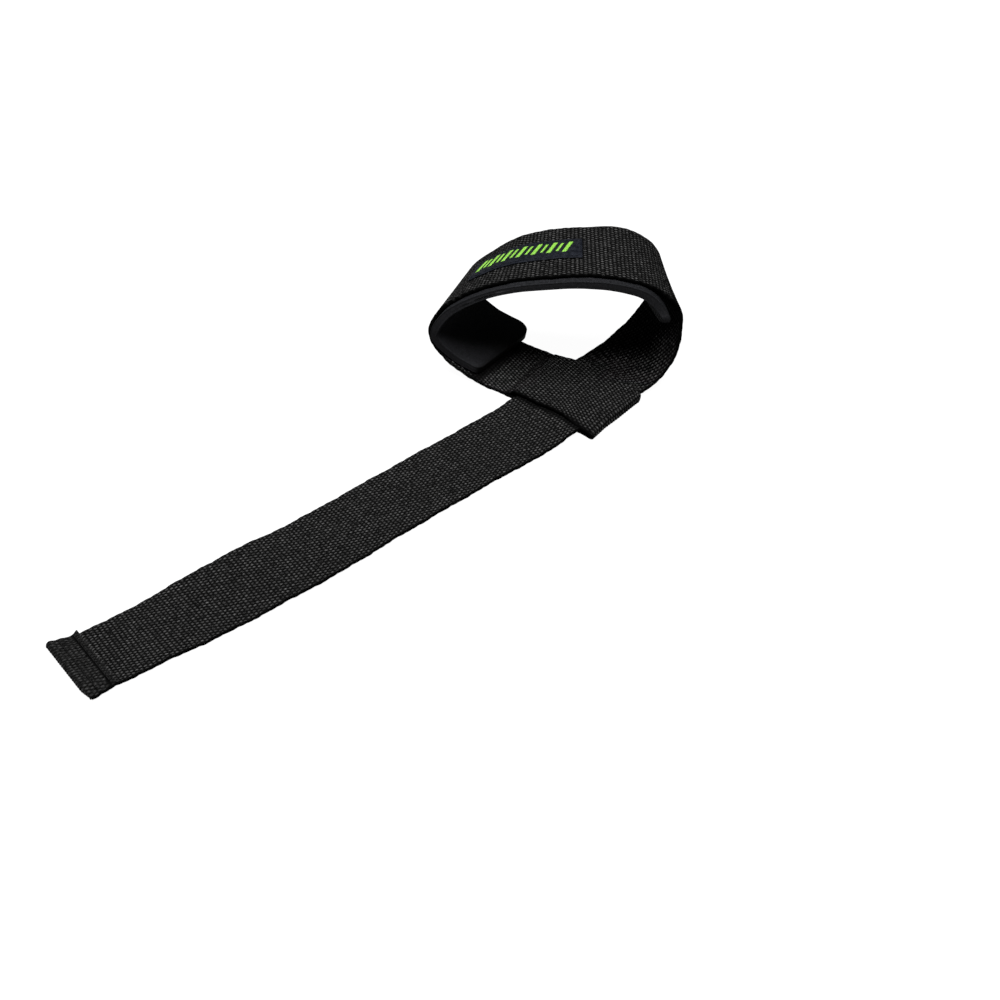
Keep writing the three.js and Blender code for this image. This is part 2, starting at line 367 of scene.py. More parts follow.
def part_shift(web):
    """The way from the route's own frame to the part's, in millimetres."""
    edges = np.concatenate([
        web.middle + web.across * web.half[:, None] * side for side in (-1, 1)
    ])
    up = np.concatenate([web.up, web.up]) * ON_FLOOR
    low = np.concatenate([edges + up, edges - up]).min(axis=0)
    return np.array([WEB_BOX_LOW[0] - low[0], WEB_BOX_LOW[1] - low[1], 0])


SHIFT = part_shift(WEB)


def mesh_object(name, points, faces):
    mesh = bpy.data.meshes.new(name)
    mesh.from_pydata(((points + SHIFT) * MM).tolist(), [], faces)
    mesh.validate()
    mesh.polygons.foreach_set("use_smooth", [True] * len(mesh.polygons))
    mesh.update()
    piece = bpy.data.objects.new(name, mesh)
    bpy.context.scene.collection.objects.link(piece)
    return piece


def tube_faces(rows, round_count):
    """Quads between rows of a closed section, and a cap on each end."""
    i = np.arange(rows - 1)[:, None] * round_count
    j = np.arange(round_count)[None]
    k = (j + 1) % round_count
    quads = np.stack([i + j, i + k, i + round_count + k, i + round_count + j], -1)
    faces = quads.reshape(-1, 4).tolist()
    first = list(range(round_count))
    faces.append(first[::-1])
    faces.append([(rows - 1) * round_count + n for n in first])
    return faces


def tube_object(name, points):
    """A mesh of rows of a closed section."""
    rows, round_count = points.shape[:2]
    return mesh_object(name, points.reshape(-1, 3), tube_faces(rows, round_count))


def float_attribute(piece, name, values):
    attribute = piece.data.attributes.new(name, "FLOAT", "POINT")
    attribute.data.foreach_set("value", np.asarray(values, np.float32).ravel())


def cloth_map(piece, along, across):
    """A UV map in millimetres along and across the cloth."""
    places = np.stack(np.broadcast_arrays(along, across), -1).reshape(-1, 2)
    layer = piece.data.uv_layers.new(name="cloth")
    corner = np.empty(len(piece.data.loops), np.int32)
    piece.data.loops.foreach_get("vertex_index", corner)
    layer.data.foreach_set("uv", places[corner].astype(np.float32).ravel())


# Web
FLAT_HALF = HALF_WEB - WEB_EDGE_ROUND
END_SPACING = 2 * FLAT_HALF / (ENDS - 1)
EDGE_BENDS = np.radians([30.0, 60.0, 90.0, 120.0, 150.0])


class Section:
    """The web's outline across, with a column at each yarn on the faces."""

    def __init__(self, upper_steps, lower_steps):
        upper = np.linspace(FLAT_HALF, -FLAT_HALF, (ENDS - 1) * upper_steps + 1)
        lower = np.linspace(-FLAT_HALF, FLAT_HALF, (ENDS - 1) * lower_steps + 1)
        rear = np.stack([np.sin(EDGE_BENDS), -np.cos(EDGE_BENDS)], -1)
        front = -rear
        self.sideways = np.concatenate([
            upper, -FLAT_HALF + front[:, 0] * WEB_EDGE_ROUND,
            lower, FLAT_HALF + rear[:, 0] * WEB_EDGE_ROUND,
        ])
        self.height = ON_FLOOR * np.concatenate([
            np.ones(len(upper)), front[:, 1], -np.ones(len(lower)), rear[:, 1],
        ])
        self.out = np.concatenate([
            np.tile([0.0, 1.0], (len(upper), 1)), front,
            np.tile([0.0, -1.0], (len(lower), 1)), rear,
        ])
        self.face = np.concatenate([
            np.ones(len(upper)), np.zeros(len(front)),
            -np.ones(len(lower)), np.zeros(len(rear)),
        ])
        self.on_face = np.abs(self.face)
        self.side = np.where(self.sideways > 0, 1, -1)
        self.from_edge = HALF_WEB - np.abs(self.sideways)
        self.end_number = np.round((self.sideways + FLAT_HALF) / END_SPACING).astype(int)


def unevenness(at, seed, waves):
    """A smooth random wobble along the web, from the waves' lengths and sizes."""
    local = np.random.default_rng(seed)
    total = np.zeros_like(at)
    for length, size in waves:
        phase = local.uniform(0, 2 * math.pi)
        total += size * np.sin(2 * math.pi * at / length + phase)
    return total


HEM_PRESSED = 0.35
EYE_END_PRESSED = 0.35
# The hem's two stitch rows, and the web outside the pad's free end.
# middle, width, share, power of the fall-off
PRESSED_BANDS = [
    (2.4, 0.7, 0.75, 2),
    (8.2, 0.8, 0.3, 2),
    (RUN_END - PAD_TO_FOLD - PAD_LENGTH / 2 + 13.0, 3.2, 0.75, 4),
]


def smooth_zones(at):
    """1 where the web is pressed flat, mostly by its sewing, and 0 elsewhere."""
    eye_end = smoothstep(at, WEB_LENGTH - 5.0, WEB_LENGTH - 2.0)
    pressed = HEM_PRESSED * (at < RUN_START) + EYE_END_PRESSED * eye_end
    for middle, width, share, power in PRESSED_BANDS:
        pressed = pressed + share * bell(at, middle, width, power)
    return np.clip(pressed, 0, 1)


HEM_CORNER_OUT = 1.2
HEM_DIP = 1.5
HEM_DIP_AT = 8.0
EYE_CORNER_ROUND = 1.6


def rear_edge_shift(at):
    """How far the rear selvage stands out at the hem's fold, dips beside the hem's ridge
    and is rounded at the eye's fold."""
    from_fold = np.abs(at - HEM_LENGTH - HEM_TURN / 2) - HEM_TURN / 2
    out = HEM_CORNER_OUT * bell(from_fold, 0, 2.2)
    dip = HEM_DIP * bell(from_fold, HEM_DIP_AT, 2.6)
    rounded = EYE_CORNER_ROUND * bell(at, RUN_END + EYE_TURN * 0.3, 2.4)
    return out - dip - rounded


# Painted shadow on the cloth beside an edge that lies on it; at its darkest the colour keeps
# this share
PAINTED_SHADOW_DARKEST = 0.08
EYE_EDGE_SHADOW = (0.9, 3.2)  # how far from the edge it is darkest, and where it ends
PAD_END_SHADOW = (2.9, 6.5)


def painted_edge_shadow(points, line, near, far):
    """How lit the cloth is painted beside an edge that lies on it, a painted shadow: dark up to
    near, full from far.
    """
    gaps = np.linalg.norm(points.reshape(-1, 1, 3) - line[None], axis=-1).min(axis=1)
    lit = PAINTED_SHADOW_DARKEST + (1 - PAINTED_SHADOW_DARKEST) * smoothstep(gaps, near, far)
    return lit.reshape(points.shape[:-1])


def shadow_casting_edges():
    """The eye's front edge and the pad's lower end, which get a painted shadow beside them, as
    points, each with its near and far.
    """
    count = 60
    over = web_ribs(np.linspace(UPPER_START - 3.0, WEB_LENGTH - 0.5, count))
    eye_edge = over.middle - over.across * over.half[:, None] + over.up * ON_FLOOR
    last = pad_ribs(np.array([PAD_LENGTH / 2 - 0.5]))
    share = np.linspace(-0.5, 0.5, count)[:, None]
    pad_end = last.middle + last.across * PAD_WIDTH * share
    return [(eye_edge, *EYE_EDGE_SHADOW), (pad_end, *PAD_END_SHADOW)]


FRONT_PRESSED = 0.46  # how much of the fold's height is pressed out at the front corner
REAR_PULLED = 0.6  # how much of the fold's bulge is pulled in at the rear corner
FRONT_PUSHED = 0.5  # how much further it bulges at the front corner


def pinch(at, sideways):
    """How each point moves where the eye's fold is pressed shut at its front corner and
    pulled in at its rear one."""
    end = ribs_at(ROUTE_LENGTH)
    angle = math.pi * np.clip((at - RUN_END) / EYE_TURN, 0, 1)
    fades = 1 - smoothstep(at, UPPER_START + 1.0, UPPER_START + 15.0)
    outward = end.along * (LAYER_PITCH * np.sin(angle) * fades)[:, None]
    upward = end.up * (LAYER_PITCH * (1 - np.cos(angle)) * fades)[:, None]
    pressed = FRONT_PRESSED * smoothstep(-sideways, 2.0, HALF_WEB)
    pulled = REAR_PULLED * smoothstep(sideways, -4.0, HALF_WEB)
    pulled = pulled - FRONT_PUSHED * smoothstep(-sideways, 6.0, HALF_WEB)
    return upward[:, None] * pressed[None, :, None] + outward[:, None] * pulled[None, :, None]


def yarn_values(table, at, section):
    """A table's value for the two yarns that cross at each point."""
    pick_number = np.round(at / PICK_FITTED).astype(int)
    return table[pick_number][:, section.end_number]


def web_relief(at, section):
    """The yarns' height from 0 to 1, and the size of the yarn turns at the selvages."""
    pick_phase = math.pi * at / PICK_FITTED
    end_phase = math.pi * (section.sideways + FLAT_HALF) / END_SPACING
    crowns = np.cos(pick_phase)[:, None] * np.cos(end_phase)[None] * section.face[None]
    crowns = crowns * yarn_values(YARN_SIZES, at, section)
    picks = np.cos(2 * pick_phase)[:, None]
    relief = 0.5 + 0.5 * ((1 - PICK_SHARE) * crowns + PICK_SHARE * picks)
    turn = at[:, None] / PICK_FITTED + (section.side[None] < 0)
    turn_number = np.round(turn / 2).astype(int)
    turns = np.abs(np.cos(math.pi * turn / 2)) * TURN_SIZES[turn_number]
    return relief, turns


EDGE_DEPTH = 0.45  # share of the relief's depth that is left at the selvages
PRESSED_DEPTH = 0.6  # share of it that pressing takes
PRESSED_SINK = 0.15
TURN_REACH = 2.2  # how far in from the edge the yarn turns move the cloth
MEAN_TURN = 0.8
REAR_SEED, REAR_WAVES = 5, ((31, 0.16), (13, 0.12), (7.3, 0.08))
FRONT_SEED, FRONT_WAVES = 9, ((27, 0.16), (11, 0.12), (6.1, 0.08))
EYE_END_DRAWN_IN = 3.2  # at the rear, towards the end of the eye's upper layer
EYE_END_DRAWN_OVER = (24.0, 4.0)  # before that end
EYE_END_THINNED = 1.45
EYE_END_THINNED_OVER = (9.0, 0.2)
HEM_CORNER = 7.0  # width of the hem's front corner, which is pressed down and spread
HEM_CORNER_SUNK = 1.1
HEM_CORNER_SPREAD = 0.8
UNDER_CORNER_IN = 1.0  # how far the layer under that corner draws back


def near_end(at, start, end):
    """0 to 1 between two distances before the web's end, as a column."""
    return smoothstep(at, WEB_LENGTH - start, WEB_LENGTH - end)[:, None]


def web_offsets(at, section, width, relief, turns):
    """Each point's way across the web and up from its middle."""
    across, on_face, side = section.sideways, section.on_face[None], section.side[None]
    pressed = smooth_zones(at)[:, None]
    inner = smoothstep(section.from_edge, 0.3, SELVAGE)[None]
    depth = CROWN_DEPTH * (EDGE_DEPTH + (1 - EDGE_DEPTH) * inner)
    depth = depth * (1 - PRESSED_DEPTH * pressed)
    push = -(depth * (1 - relief) + PRESSED_SINK * pressed) * on_face

    at_edge = 1 - smoothstep(section.from_edge, 0.0, TURN_REACH)[None]
    rear_wobble = unevenness(at, REAR_SEED, REAR_WAVES)[:, None]
    front_wobble = unevenness(at, FRONT_SEED, FRONT_WAVES)[:, None]
    wobble = np.where(side > 0, rear_wobble, -front_wobble)
    outward = (SCALLOP * (turns - MEAN_TURN) * side + wobble) * at_edge

    towards_end = near_end(at, *EYE_END_DRAWN_OVER)
    drawn_in = EYE_END_DRAWN_IN * towards_end * smoothstep(across, 0.0, HALF_WEB)[None]
    rear_shift = rear_edge_shift(at)[:, None] * smoothstep(across, 8.0, HALF_WEB)[None]
    in_hem = (at < RUN_START)[:, None]
    under_hem = (1 - smoothstep(at, RUN_START + 6.0, RUN_START + 14.0))[:, None] * ~in_hem
    corner = smoothstep(-across, HALF_WEB - HEM_CORNER, HALF_WEB)[None]
    sideways = (
        across[None] * width + outward + push * section.out[None, :, 0]
        - drawn_in + rear_shift
        + corner * (UNDER_CORNER_IN * under_hem - HEM_CORNER_SPREAD * in_hem)
    )
    last_part = near_end(at, *EYE_END_THINNED_OVER)
    outer_share = (ON_FLOOR - section.height) / WEB_THICKNESS
    height = (
        section.height[None] + push * section.out[None, :, 1]
        + EYE_END_THINNED * last_part * outer_share
        + HEM_CORNER_SUNK * corner * in_hem
    )
    return sideways, height


HEM_EVENED = 0.35  # how much of the hem's contrast is taken out
EVEN_RELIEF = 0.64
TURN_CROWN = 0.6
# Painted shade on the web's side faces and on a thin rim along its edges
PAINTED_SIDE_SHADE = 0.3
PAINTED_RIM_SHADE = 0.15
LEFT_WALL_RIM = 0.65  # how much less painted shade the rim gets on the loop's left wall
LEFT_WALL = (140.0, 125.0, 70.0)  # where it starts, is full and ends, before the eye's fold
# Painted light: the run under the loop is made lighter by this share
UNDER_RUN_PAINTED_LIGHT = 0.45
UNDER_RUN = (75.0, 60.0)  # where the run under the loop starts and is full


def yarn_tones_and_painted_shade(at, section, points):
    """Each yarn's own random tone times painted shade and painted light: darker along the
    selvages and beside the eye's front edge and the pad's lower end, lighter on the run under
    the loop.
    """
    on_face = section.on_face[None]
    tones_and_painted_shade = yarn_values(YARN_SHADES, at, section) * on_face + PAINTED_SIDE_SHADE * (1 - on_face)
    to_fold = RUN_END - at
    start, full, end = LEFT_WALL
    left_wall = smoothstep(-to_fold, -start, -full) * (to_fold > end)
    rim = (PAINTED_RIM_SHADE + LEFT_WALL_RIM * left_wall)[:, None]
    tones_and_painted_shade = tones_and_painted_shade * (rim + (1 - rim) * smoothstep(section.from_edge, 0.1, 0.9)[None])
    start, full = UNDER_RUN
    under_run = smoothstep(-to_fold, -start, -full) * (to_fold > 0)
    tones_and_painted_shade = tones_and_painted_shade * (1 + UNDER_RUN_PAINTED_LIGHT * under_run)[:, None]
    for line, near, far in PAINTED_SHADOW_EDGES:
        tones_and_painted_shade = tones_and_painted_shade * painted_edge_shadow(points, line, near, far)
    return tones_and_painted_shade


def web_piece(name, first, last, upper_steps, lower_steps):
    """One stretch of the web between two row numbers, with its yarns in relief."""
    section = Section(upper_steps, lower_steps)
    at = WEB_AT[first:last + 1]
    ribs = web_ribs(at)
    relief, turns = web_relief(at, section)
    width = (ribs.half / HALF_WEB)[:, None]
    points = ribs.points(*web_offsets(at, section, width, relief, turns))
    points = points - pinch(at, section.sideways)
    piece = tube_object(name, points)
    cloth_map(piece, at[:, None], section.sideways[None])
    on_face = section.on_face[None]
    evened = HEM_EVENED * (at < RUN_START)[:, None]
    shown = relief + evened * (EVEN_RELIEF - relief)
    pressed = np.broadcast_to(smooth_zones(at)[:, None], relief.shape)
    float_attribute(piece, "crown", shown * on_face + TURN_CROWN * turns * (1 - on_face))
    # The 'shade' attribute carries each yarn's random tone together with the painted shade and
    # painted light.
    float_attribute(piece, "shade", yarn_tones_and_painted_shade(at, section, points))
    float_attribute(piece, "pressed", pressed)
    return piece


# Sewing thread
THREAD_RADIUS = 0.2
THREAD_SIDES = 6
STITCH = 2.6
STITCH_GAP = 0.5
STITCH_STEPS = np.linspace(0, 1, 6)
# How high a stitch's middle line rises and how deep its ends go in, in thread radii
STITCH_ARCH = 2.6
STITCH_SINK = 1.4


def stitches(name, runs):
    """Stitches, each given by its start and end on the cloth and the way out of it."""
    arch = np.sin(math.pi * STITCH_STEPS) ** 0.5
    lift = THREAD_RADIUS * (STITCH_ARCH * arch - STITCH_SINK)
    points, faces = [], []
    for start, end, out in runs:
        along = end - start
        cross = unit(np.cross(along, out))
        first = len(points)
        for step, high in zip(STITCH_STEPS, lift):
            middle = start + along * step + out * high
            for k in range(THREAD_SIDES):
                angle = 2 * math.pi * k / THREAD_SIDES
                ring = cross * math.cos(angle) + out * math.sin(angle)
                points.append(middle + ring * THREAD_RADIUS)
        for face in tube_faces(len(STITCH_STEPS), THREAD_SIDES):
            faces.append([first + n for n in face])
    return mesh_object(name, np.array(points), faces)


def row_across(at, inset, sunk=0.1):
    """Stitches in a row across the outer face of a fold, at one distance along the web."""
    pitch = STITCH + STITCH_GAP
    count = int(2 * (HALF_WEB - inset) / pitch)
    index = row_number(at)
    out = -WEB.up_at(index)
    surface = sunk - ON_FLOOR
    runs = []
    for k in range(count):
        start = (k - count / 2) * pitch + STITCH_GAP / 2
        ends = [start, start + STITCH]
        p, q = WEB.place([index, index], ends, [surface, surface])
        runs.append((p, q, out))
    return runs


# Pad
def strip_steps(length, spacing, fine_ends, fine_spacing):
    """Distances along a strip, closer together near its ends."""
    half = length / 2
    ends = np.linspace(0, 1, int(fine_ends / fine_spacing)) ** 1.8 * fine_ends
    middle = np.linspace(
        -half + fine_ends, half - fine_ends, int((length - 2 * fine_ends) / spacing)
    )
    return np.concatenate([-half + ends[:-1], middle, (half - ends[:-1])[::-1]])


def pad_ribs(at):
    from_end = at + PAD_LENGTH / 2
    free = 1 - smoothstep(from_end, 0, PAD_LIFT_LENGTH)
    askew = smoothstep(from_end, PAD_LENGTH - PAD_TURN_LENGTH, PAD_LENGTH)
    offset = (WEB_THICKNESS + PAD_THICKNESS) / 2 + PAD_GAP
    offset = offset + PAD_END_LIFT * free + PAD_END_RISE * askew
    ribs = ribs_at(ROUTE_LENGTH - PAD_TO_FOLD + at).raised(offset)
    ribs = ribs.moved_across(PAD_END_SHIFT * askew)
    ribs.across = turned_about(ribs.across, ribs.up, np.radians(PAD_END_TURN) * -askew)
    return ribs


SKIN = 0.4  # knitted face on each side of the foam
GROOVE = 0.07  # how far the foam's cut edge lies back from the knit
KNIT_ROUND = 0.55  # how far in the knit starts to round over the edge
PAD_COLUMNS = 36
PAD_TIP = 0.72  # share of the thickness that is left at the pad's tips
PAD_TIP_ROUND = 0.8
PAD_SEED, PAD_WAVES = 21, ((38, 0.10), (17, 0.08), (9, 0.05))
INNER_CRUMPLE, OUTER_CRUMPLE = 0.5, 0.2
# Where the inner face stands out or in: how far, middle, width
PAD_SWELLS = [(0.5, -52, 24), (-0.4, 12, 26)]


def pad_profile():
    """The cut edge from the inner face to the outer one: inset, height and cut."""
    high = PAD_THICKNESS / 2
    rows = [
        (KNIT_ROUND, high, 0.0), (0.22, high - 0.05, 0.0), (0.04, high - 0.15, 0.0),
        (0.0, high - 0.28, 0.1), (0.04, high - SKIN, 0.6), (GROOVE, high - SKIN - 0.12, 1.0),
    ]
    bulge = [
        (GROOVE * (1 - math.sin(math.pi * t)), (high - SKIN - 0.3) * (1 - 2 * t), 1.0)
        for t in (0.15, 0.35, 0.5, 0.65, 0.85)
    ]
    mirrored = [(inset, -height, cut) for inset, height, cut in rows[::-1]]
    return np.array(rows + bulge + mirrored)


def corner_cut(from_end, corner):
    """What a rounded corner takes off the pad's width."""
    short = np.clip(corner - from_end, 0, corner)
    return corner - np.sqrt(corner**2 - short**2)


def pad_piece():
    at = strip_steps(PAD_LENGTH, spacing=1.1, fine_ends=10.0, fine_spacing=0.42)
    from_tip = PAD_LENGTH / 2 - np.abs(at)
    rear_cut = corner_cut(from_tip, PAD_CORNER)
    front_cut = np.where(at < 0, rear_cut, corner_cut(from_tip, PAD_SHARP_CORNER))
    ribs = pad_ribs(at).moved_across((front_cut - rear_cut) / 2)
    half = ((PAD_WIDTH - front_cut - rear_cut) / 2)[:, None]

    # the ring runs over the rear edge, the inner face, the front edge and the outer face
    high = PAD_THICKNESS / 2
    front = pad_profile()
    rear = front[::-1]
    face = np.linspace(1, -1, PAD_COLUMNS + 2)[1:-1]
    plain = np.zeros(PAD_COLUMNS)
    sideways = np.concatenate([
        half - rear[:, 0], (half - KNIT_ROUND) * face,
        front[:, 0] - half, (half - KNIT_ROUND) * -face,
    ], axis=1)
    height = np.concatenate([rear[:, 1], plain + high, front[:, 1], plain - high])
    cut = np.concatenate([rear[:, 2], plain, front[:, 2], plain])

    tip = np.sqrt(1 - np.clip(1 - from_tip / PAD_TIP_ROUND, 0, 1) ** 2)
    height = height * (PAD_TIP + (1 - PAD_TIP) * tip)[:, None]
    crumple = unevenness(at, PAD_SEED, PAD_WAVES)[:, None] * np.sin(sideways / 6.5 + 0.7)
    height = height + np.where(height > 0, INNER_CRUMPLE, OUTER_CRUMPLE) * crumple
    swell = sum(size * bell(at, middle, width) for size, middle, width in PAD_SWELLS)
    height = height + swell[:, None] * (height > 0)
    piece = tube_object("pad_body", ribs.points(sideways, height))

    around = np.cumsum(
        np.hypot(
            np.diff(sideways, axis=1, prepend=sideways[:, -1:]),
            np.diff(height, axis=1, prepend=height[:, -1:]),
        ), axis=1
    )
    cloth_map(piece, at[:, None], around)
    end_cut = smoothstep(-from_tip, -0.35, 0.0)[:, None]
    near_skin = smoothstep(np.abs(height), high * PAD_TIP - 0.2, high)
    float_attribute(piece, "cut", np.maximum(cut[None], end_cut * (1 - near_skin)))
    shadowed = smoothstep(at, PAD_LENGTH / 2 - 2.6, PAD_LENGTH / 2 - 0.6)[:, None]
    shadowed = shadowed * (1 - 0.5 * near_skin * (height > 0))
    float_attribute(piece, "shadowed", shadowed)
    return piece


# Label
LABEL_RAISED = 0.3  # towards the web, within the gap that the solids leave
LABEL_COLUMNS = 34
LABEL_EDGE_ROUND = 0.3
LABEL_TIP = 0.55  # share of the thickness that is left at its ends
LABEL_SIDE = 0.35  # and along its sides
LABEL_HEM = 0.12  # how much thicker its folded ends are
LABEL_GROOVE = 0.12  # how deep its sewing pulls it in
LABEL_SEWING_IN = 1.3
LABEL_SEWING_SUNK = 0.42  # from the outer face of the solid label
LABEL_STITCH_PITCH = 2.2
LABEL_STITCH_ENDS = (0.08, 0.82)  # shares of the pitch
LABEL_SEED, LABEL_WAVES = 33, ((23, 0.1), (9.7, 0.06), (4.1, 0.03))
BARS = 13
BAR_HEIGHT = 7.4
BAR_SLANT = math.radians(24)
BAR_FIELD = 45.5
BAR_SHIFT = 0.4  # towards the pad's lower end
BAR_RISE = 0.9  # nearer to the rear selvage
THICK_BAR = (0.54, 1.0)  # shares of the pitch and of the height
THIN_BAR = (0.34, 0.78)
# How far in from the outer face of the solid label the bars' rim and underside lie
BAR_RIM_IN = 0.2
BAR_ROOT_IN = 0.5
BAR_SWELL = 0.24


def label_ribs(at):
    offset = (WEB_THICKNESS + LABEL_THICKNESS) / 2 + LABEL_GAP
    ribs = ribs_at(ROUTE_LENGTH - LABEL_TO_FOLD + at).raised(-offset)
    return ribs.moved_across(LABEL_ASIDE)


LABEL_AT = np.linspace(-LABEL_LENGTH / 2, LABEL_LENGTH / 2, 200)
LABEL = label_ribs(LABEL_AT)


def label_row(at):
    return (at + LABEL_LENGTH / 2) / LABEL_LENGTH * (len(LABEL_AT) - 1)


def label_piece():
    at = strip_steps(LABEL_LENGTH, spacing=0.7, fine_ends=3.0, fine_spacing=0.3)
    half = LABEL_WIDTH / 2
    flat = half - LABEL_EDGE_ROUND
    high = LABEL_THICKNESS / 2
    face = np.linspace(flat, -flat, LABEL_COLUMNS)
    edge = flat + np.sin(EDGE_BENDS) * LABEL_EDGE_ROUND
    plain = np.full(LABEL_COLUMNS, high)
    drop = np.cos(EDGE_BENDS) * high
    sideways = np.concatenate([face, -edge, -face, edge])
    height = np.concatenate([plain, drop, -plain, -drop])

    from_tip = LABEL_LENGTH / 2 - np.abs(at)
    from_side = half - np.abs(sideways)
    tucked = smoothstep(from_tip, 0, 0.8)
    hem = 1 - smoothstep(from_tip, 3.0, 3.8)
    thickness = (LABEL_TIP + (1 - LABEL_TIP) * tucked) * (1 + LABEL_HEM * hem)
    flattened = LABEL_SIDE + (1 - LABEL_SIDE) * smoothstep(from_side, 0.1, 1.2)
    sewn = np.maximum(bell(from_side, 1.3, 0.45)[None], bell(from_tip, 1.4, 0.45)[:, None])
    groove = LABEL_GROOVE * sewn * (height < 0)[None]
    height = height[None] * thickness[:, None] * flattened[None] + groove + LABEL_RAISED
    wave = unevenness(at, LABEL_SEED, LABEL_WAVES)[:, None]
    sideways = sideways[None] + wave * np.sign(sideways)[None] * (from_side < 0.5)[None]
    piece = tube_object("label_cloth", label_ribs(at).points(sideways, height))
    cloth_map(piece, at[:, None], sideways)
    return piece


def label_bars():
    """A row of slanted embroidered bars, thick and thin in turn."""
    pitch = BAR_FIELD / BARS
    along_steps, across_steps = 7, 13
    surface = -LABEL_THICKNESS / 2
    u = np.linspace(-0.5, 0.5, along_steps)
    v = np.linspace(-0.5, 0.5, across_steps)
    uu, vv = np.meshgrid(u, v, indexing="ij")
    swell = (1 - (2 * uu) ** 4) * (1 - (2 * vv) ** 10)
    top_lift = surface + BAR_RIM_IN - BAR_SWELL * swell
    bottom_lift = np.full_like(swell, surface + BAR_ROOT_IN)
    rim = (
        [i * across_steps for i in range(along_steps)]
        + [(along_steps - 1) * across_steps + j for j in range(1, across_steps)]
        + [i * across_steps + across_steps - 1 for i in range(along_steps - 2, -1, -1)]
        + [j for j in range(across_steps - 2, 0, -1)]
    )
    points, faces, grid = [], [], []
    for k in range(BARS):
        middle = BAR_SHIFT - BAR_FIELD / 2 + (k + 0.5) * pitch
        width, tall = THICK_BAR if k % 2 == 0 else THIN_BAR
        side = BAR_HEIGHT * tall * vv
        at = middle + uu * pitch * width - side * math.tan(BAR_SLANT)
        side = side + BAR_RISE
        top = len(points)
        bottom = top + along_steps * across_steps
        for lift in (top_lift, bottom_lift):
            points.extend(LABEL.place(label_row(at.ravel()), side.ravel(), lift.ravel()))
            grid.extend(np.stack([at.ravel(), side.ravel()], -1))
        for i in range(along_steps - 1):
            for j in range(across_steps - 1):
                a = i * across_steps + j
                quad = [a, a + 1, a + across_steps + 1, a + across_steps]
                faces.append([top + n for n in quad])
                faces.append([bottom + n for n in quad[::-1]])
        for n, m in zip(rim, rim[1:] + rim[:1]):
            faces.append([top + n, top + m, bottom + m, bottom + n])
    piece = mesh_object("label_bars", np.array(points), faces)
    cloth_map(piece, *np.array(grid).T)
    return piece


def label_sewing():
    """Stitches round the label, sunk in the groove that they pull."""
    runs = []
    half_along = LABEL_LENGTH / 2 - LABEL_SEWING_IN
    half_across = LABEL_WIDTH / 2 - LABEL_SEWING_IN
    level = LABEL_SEWING_SUNK - LABEL_THICKNESS / 2
    corners = [(-1, -1), (1, -1), (1, 1), (-1, 1)]
    for (a, b), (c, d) in zip(corners, corners[1:] + corners[:1]):
        start = np.array([a * half_along, b * half_across])
        end = np.array([c * half_along, d * half_across])
        count = round(float(np.linalg.norm(end - start)) / LABEL_STITCH_PITCH)
        for k in range(count):
            ends = [
                start + (end - start) * (k + share) / count for share in LABEL_STITCH_ENDS
            ]
            index = [label_row(e[0]) for e in ends]
            p, q = LABEL.place(index, [e[1] for e in ends], [level, level])
            runs.append((p, q, -LABEL.up_at(index[0])))
    return stitches("label_sewing", runs)


# Materials
def new_material(name, roughness, specular):
    material = bpy.data.materials.new(name)
    material.use_nodes = True
    tree = material.node_tree
    shader = tree.nodes["Principled BSDF"]
    shader.inputs["Roughness"].default_value = roughness
    shader.inputs["Specular IOR Level"].default_value = specular
    return material, tree, shader


def add_node(tree, kind, inputs=None, **settings):
    made = tree.nodes.new(kind)
    for key, value in settings.items():
        setattr(made, key, value)
    for key, value in (inputs or {}).items():
        if isinstance(value, bpy.types.NodeSocket):
            tree.links.new(value, made.inputs[key])
        else:
            made.inputs[key].default_value = value
    return made


def math_node(tree, operation, a, b):
    return add_node(tree, "ShaderNodeMath", {0: a, 1: b}, operation=operation).outputs[0]


def mixed_colour(tree, share, a, b):
    made = add_node(tree, "ShaderNodeMix", data_type="RGBA")
    for socket, value in ((made.inputs[0], share), (made.inputs[6], a), (made.inputs[7], b)):
        if isinstance(value, bpy.types.NodeSocket):
            tree.links.new(value, socket)
        else:
            socket.default_value = value
    return made.outputs[2]


PLAIN = (1.0, 1.0, 1.0)
ALONG_FIBRES = (1.0, 3.2, 1.0)
ALONG_YARNS = (1.0, 2.2, 1.0)


def cloth_coordinates(tree, scale):
    """The cloth's own map in millimetres, times a scale along, across and up."""
    uv = add_node(tree, "ShaderNodeUVMap", uv_map="cloth").outputs[0]
    return add_node(
        tree, "ShaderNodeMapping", {"Vector": uv, "Scale": scale}).outputs[0]


def noise(tree, vector, scale, detail=3.0, roughness=0.6):
    return add_node(tree, "ShaderNodeTexNoise", {
        "Vector": vector, "Scale": scale, "Detail": detail, "Roughness": roughness,
    }).outputs[0]


def attribute(tree, name):
    return add_node(tree, "ShaderNodeAttribute", attribute_name=name).outputs["Fac"]


def ramp(tree, value, low, high):
    return add_node(tree, "ShaderNodeMapRange", {
        "Value": value, "From Min": low, "From Max": high}).outputs[0]


def bump(tree, height, strength, distance):
    return add_node(tree, "ShaderNodeBump", {
        "Height": height, "Strength": strength, "Distance": distance}).outputs[0]


def bands(tree, vector, direction, scale, distortion, detail=1.0, detail_scale=1.0):
    return add_node(tree, "ShaderNodeTexWave", {
        "Vector": vector, "Scale": scale, "Distortion": distortion, "Detail": detail,
        "Detail Scale": detail_scale,
    }, wave_type="BANDS", bands_direction=direction).outputs[1]


def grey(value, tint=(1.0, 1.0, 1.0)):
    return (value * tint[0], value * tint[1], value * tint[2], 1.0)


# Linear colours. The black cloth is darker than most, as in the photo.
# Painted shade: near black for the web's gaps between the yarns, and for the pad's painted
# shadow
PAINTED_SHADE_BLACKS = (grey(0.0003), grey(0.0007))
